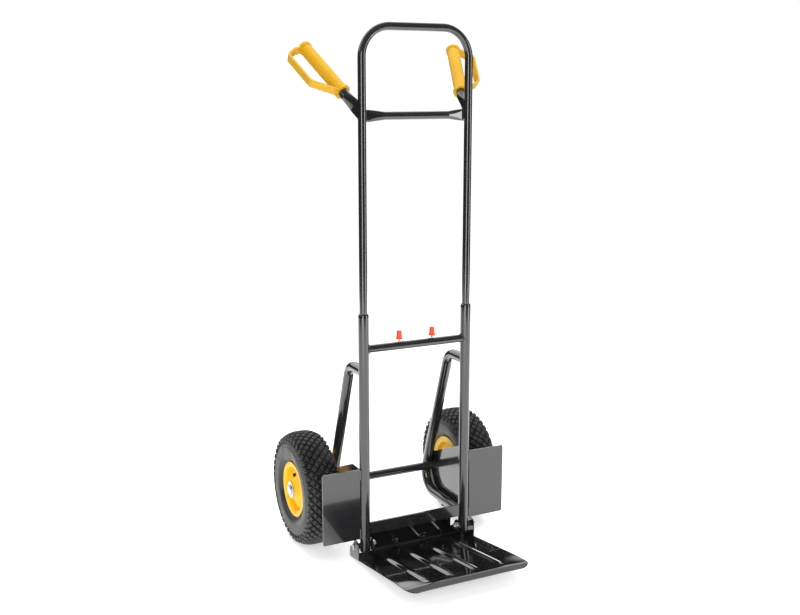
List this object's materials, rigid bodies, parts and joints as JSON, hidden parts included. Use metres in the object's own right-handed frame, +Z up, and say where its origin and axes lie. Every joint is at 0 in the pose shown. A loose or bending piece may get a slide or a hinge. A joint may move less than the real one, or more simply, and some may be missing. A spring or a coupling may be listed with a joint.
{
  "type": "hand truck",
  "caption": "Two-wheeled hand truck with a telescopic tube hoop, angled grips with knuckle guards, a folding ribbed toe plate and pneumatic wheels.",
  "frame": {"origin": "on the ground, under the centre of the truck's box", "axes": "+Z up, -Y towards the toe plate, X along the axle; left is -X, seen from the toe plate's side"},
  "size_m": [0.4878, 0.543, 1.1595],
  "materials": {
    "frame_paint": "gloss",
    "plate_paint": "gloss",
    "grip": "satin",
    "rim": "semi-gloss",
    "tyre": "matte",
    "tube_rubber": "matte",
    "knob": "satin",
    "brass": "brushed",
    "black_plastic": "matte",
    "zinc": "zinc plated"
  },
  "bodies": {
    "lower_frame": {"axle_rod": "zinc", "axle_tube": "frame_paint", "catch_stop_block": "zinc", "foot_crossbar": "frame_paint", "left_catch_spring": "zinc", "left_foot_plug": "black_plastic", "left_frame_tube": "frame_paint", "left_guide_bush": "black_plastic", "left_hub_cap": "zinc", "left_pivot_bolt": "zinc", "left_pivot_nut": "zinc", "left_pivot_spacers": "black_plastic", "left_pivot_washers": "zinc", "left_wheel_arm": "frame_paint", "left_wheel_guard": "frame_paint", "mid_crossbar": "frame_paint", "right_catch_spring": "zinc", "right_foot_plug": "black_plastic", "right_frame_tube": "frame_paint", "right_guide_bush": "black_plastic", "right_hub_cap": "zinc", "right_pivot_bolt": "zinc", "right_pivot_nut": "zinc", "right_pivot_spacers": "black_plastic", "right_pivot_washers": "zinc", "right_wheel_arm": "frame_paint", "right_wheel_guard": "frame_paint"},
    "hoop": {"handle_hoop": "frame_paint", "upper_crossbar": "frame_paint", "left_grip_arm": "frame_paint", "left_grip": "grip", "left_leg_plug": "black_plastic", "right_grip_arm": "frame_paint", "right_grip": "grip", "right_leg_plug": "black_plastic"},
    "toe_plate": {"toe_plate": "plate_paint"},
    "left_catch": {"left_catch_pin": "zinc", "left_catch_stem": "brass", "left_catch_knob": "knob"},
    "right_catch": {"right_catch_pin": "zinc", "right_catch_stem": "brass", "right_catch_knob": "knob"},
    "left_wheel": {"left_tyre": "tyre", "left_inner_tube": "tube_rubber", "left_rim_outer": "rim", "left_rim_inner": "rim", "left_rim_screws": "zinc", "left_hub_bushes": "black_plastic", "left_valve": "black_plastic"},
    "right_wheel": {"right_tyre": "tyre", "right_inner_tube": "tube_rubber", "right_rim_outer": "rim", "right_rim_inner": "rim", "right_rim_screws": "zinc", "right_hub_bushes": "black_plastic", "right_valve": "black_plastic"}
  },
  "joints": [
    {"name": "hoop_slide", "type": "slide", "parent": "lower_frame", "child": "hoop", "axis": [0, 0, 1], "range_m": [-0.368, 0]},
    {"name": "toe_plate_fold", "type": "hinge", "parent": "lower_frame", "child": "toe_plate", "pos_m": [0, -0.0155, 0.036], "axis": [1, 0, 0], "range_deg": [-81, 0]},
    {"name": "left_catch_slide", "type": "slide", "parent": "lower_frame", "child": "left_catch", "axis": [1, 0, 0], "range_m": [0, 0.008], "stiffness_N_per_m": 600, "springref_m": -0.006, "deforming": ["left_catch_spring"]},
    {"name": "right_catch_slide", "type": "slide", "parent": "lower_frame", "child": "right_catch", "axis": [-1, 0, 0], "range_m": [0, 0.008], "stiffness_N_per_m": 600, "springref_m": -0.006, "deforming": ["right_catch_spring"]},
    {"name": "left_wheel_spin", "type": "hinge", "parent": "lower_frame", "child": "left_wheel", "pos_m": [-0.2004, 0.1415, 0.13], "axis": [1, 0, 0], "continuous": true},
    {"name": "right_wheel_spin", "type": "hinge", "parent": "lower_frame", "child": "right_wheel", "pos_m": [0.2004, 0.1415, 0.13], "axis": [1, 0, 0], "continuous": true}
  ]
}
